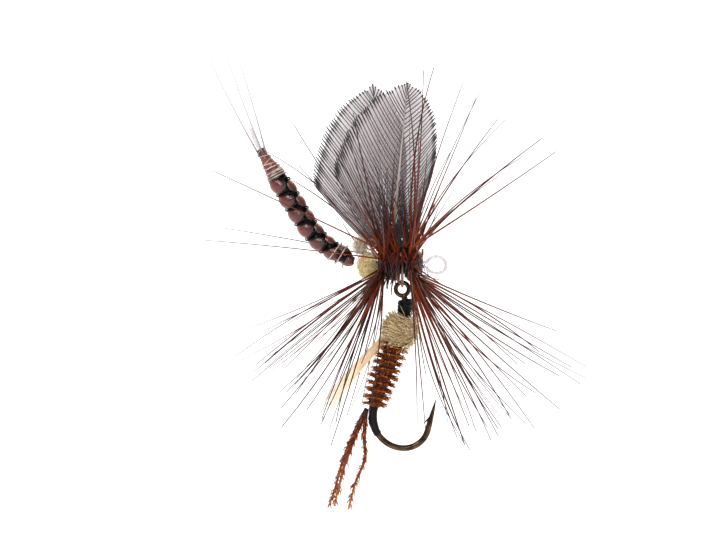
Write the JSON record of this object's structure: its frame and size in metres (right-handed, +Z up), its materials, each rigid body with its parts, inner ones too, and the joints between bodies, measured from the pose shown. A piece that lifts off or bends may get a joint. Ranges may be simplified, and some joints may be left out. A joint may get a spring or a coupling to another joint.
{
  "type": "dry fly",
  "caption": "Articulated emerging-mayfly fishing fly: feather-winged dun with wound hackle and woven upturned abdomen, with a nymph hanging below it on a barbed hook.",
  "frame": {"origin": "centre of the tippet loop at the head, where the leader is tied", "axes": "+X towards the head, +Y to the fly's left, +Z up towards the wing tips"},
  "size_m": [0.0459, 0.0471, 0.0602],
  "materials": {
    "clear_monofilament": "clear, smooth, glossy",
    "brown_head_thread": "varnished dark brown thread",
    "black_thread": "wound black tying thread",
    "cock_hackle": "red-brown feather barbs with dark tips",
    "wing_feather": "grey-brown barred feather vane",
    "yellow_dubbing": "spun yellow-olive fur",
    "beige_dubbing": "loose beige fur",
    "black_underwrap": "wound glossy black strip",
    "woven_strand": "mauve-brown woven floss",
    "clear_thread": "clear thread turns",
    "binding_thread": "pinkish clear thread over brown floss",
    "tail_fibre": "pale translucent hair",
    "black_nickel_steel": "polished black nickel plate",
    "tan_dubbing": "spun tan fur",
    "pheasant_herl": "wound pheasant-tail herl",
    "copper_wire": "fine drawn copper wire",
    "pale_feather_strip": "cream feather fibre"
  },
  "bodies": {
    "dun": {"tippet_loop": "clear_monofilament", "head_thread": "brown_head_thread", "thorax_thread_front": "black_thread", "thorax_thread_rear": "black_thread", "wing_binding": "black_thread", "wing_near": "wing_feather", "wing_far": "wing_feather", "hackle_front": "cock_hackle", "hackle_rear": "cock_hackle", "rear_dubbing": "yellow_dubbing", "dubbing_tuft": "beige_dubbing", "keeper_ring": "clear_monofilament"},
    "link": {"link_ring": "clear_monofilament"},
    "nymph": {"hook": "black_nickel_steel", "neck_thread": "black_thread", "nymph_thorax": "tan_dubbing", "nymph_abdomen": "pheasant_herl", "nymph_rib": "copper_wire", "bend_thread": "black_thread", "wing_pad": "pale_feather_strip", "nymph_tail_right": "pheasant_herl", "nymph_tail_middle": "pheasant_herl", "nymph_tail_left": "pheasant_herl"},
    "abdomen": {"body_core": "clear_monofilament", "body_underwrap": "black_underwrap", "body_strand_upper": "woven_strand", "body_strand_lower": "woven_strand", "front_binding": "clear_thread", "rear_binding": "binding_thread", "dun_tail_left": "tail_fibre", "dun_tail_centre": "tail_fibre", "dun_tail_right": "tail_fibre"}
  },
  "joints": [
    {"name": "link_swing", "type": "hinge", "parent": "dun", "child": "link", "pos_m": [-0.00375, 0, 0.0003], "axis": [1, 0, 0], "range_deg": [-15, 15]},
    {"name": "nymph_swing", "type": "hinge", "parent": "link", "child": "nymph", "pos_m": [-0.00375, 0, -0.00241], "axis": [0, 1, 0], "range_deg": [-12, 20]},
    {"name": "abdomen_flex", "type": "hinge", "parent": "dun", "child": "abdomen", "pos_m": [-0.00905, 0, 0.0006], "axis": [0, 1, 0], "range_deg": [-8, 8], "stiffness_Nm_per_rad": 0.0001, "springref_deg": 1.13}
  ]
}
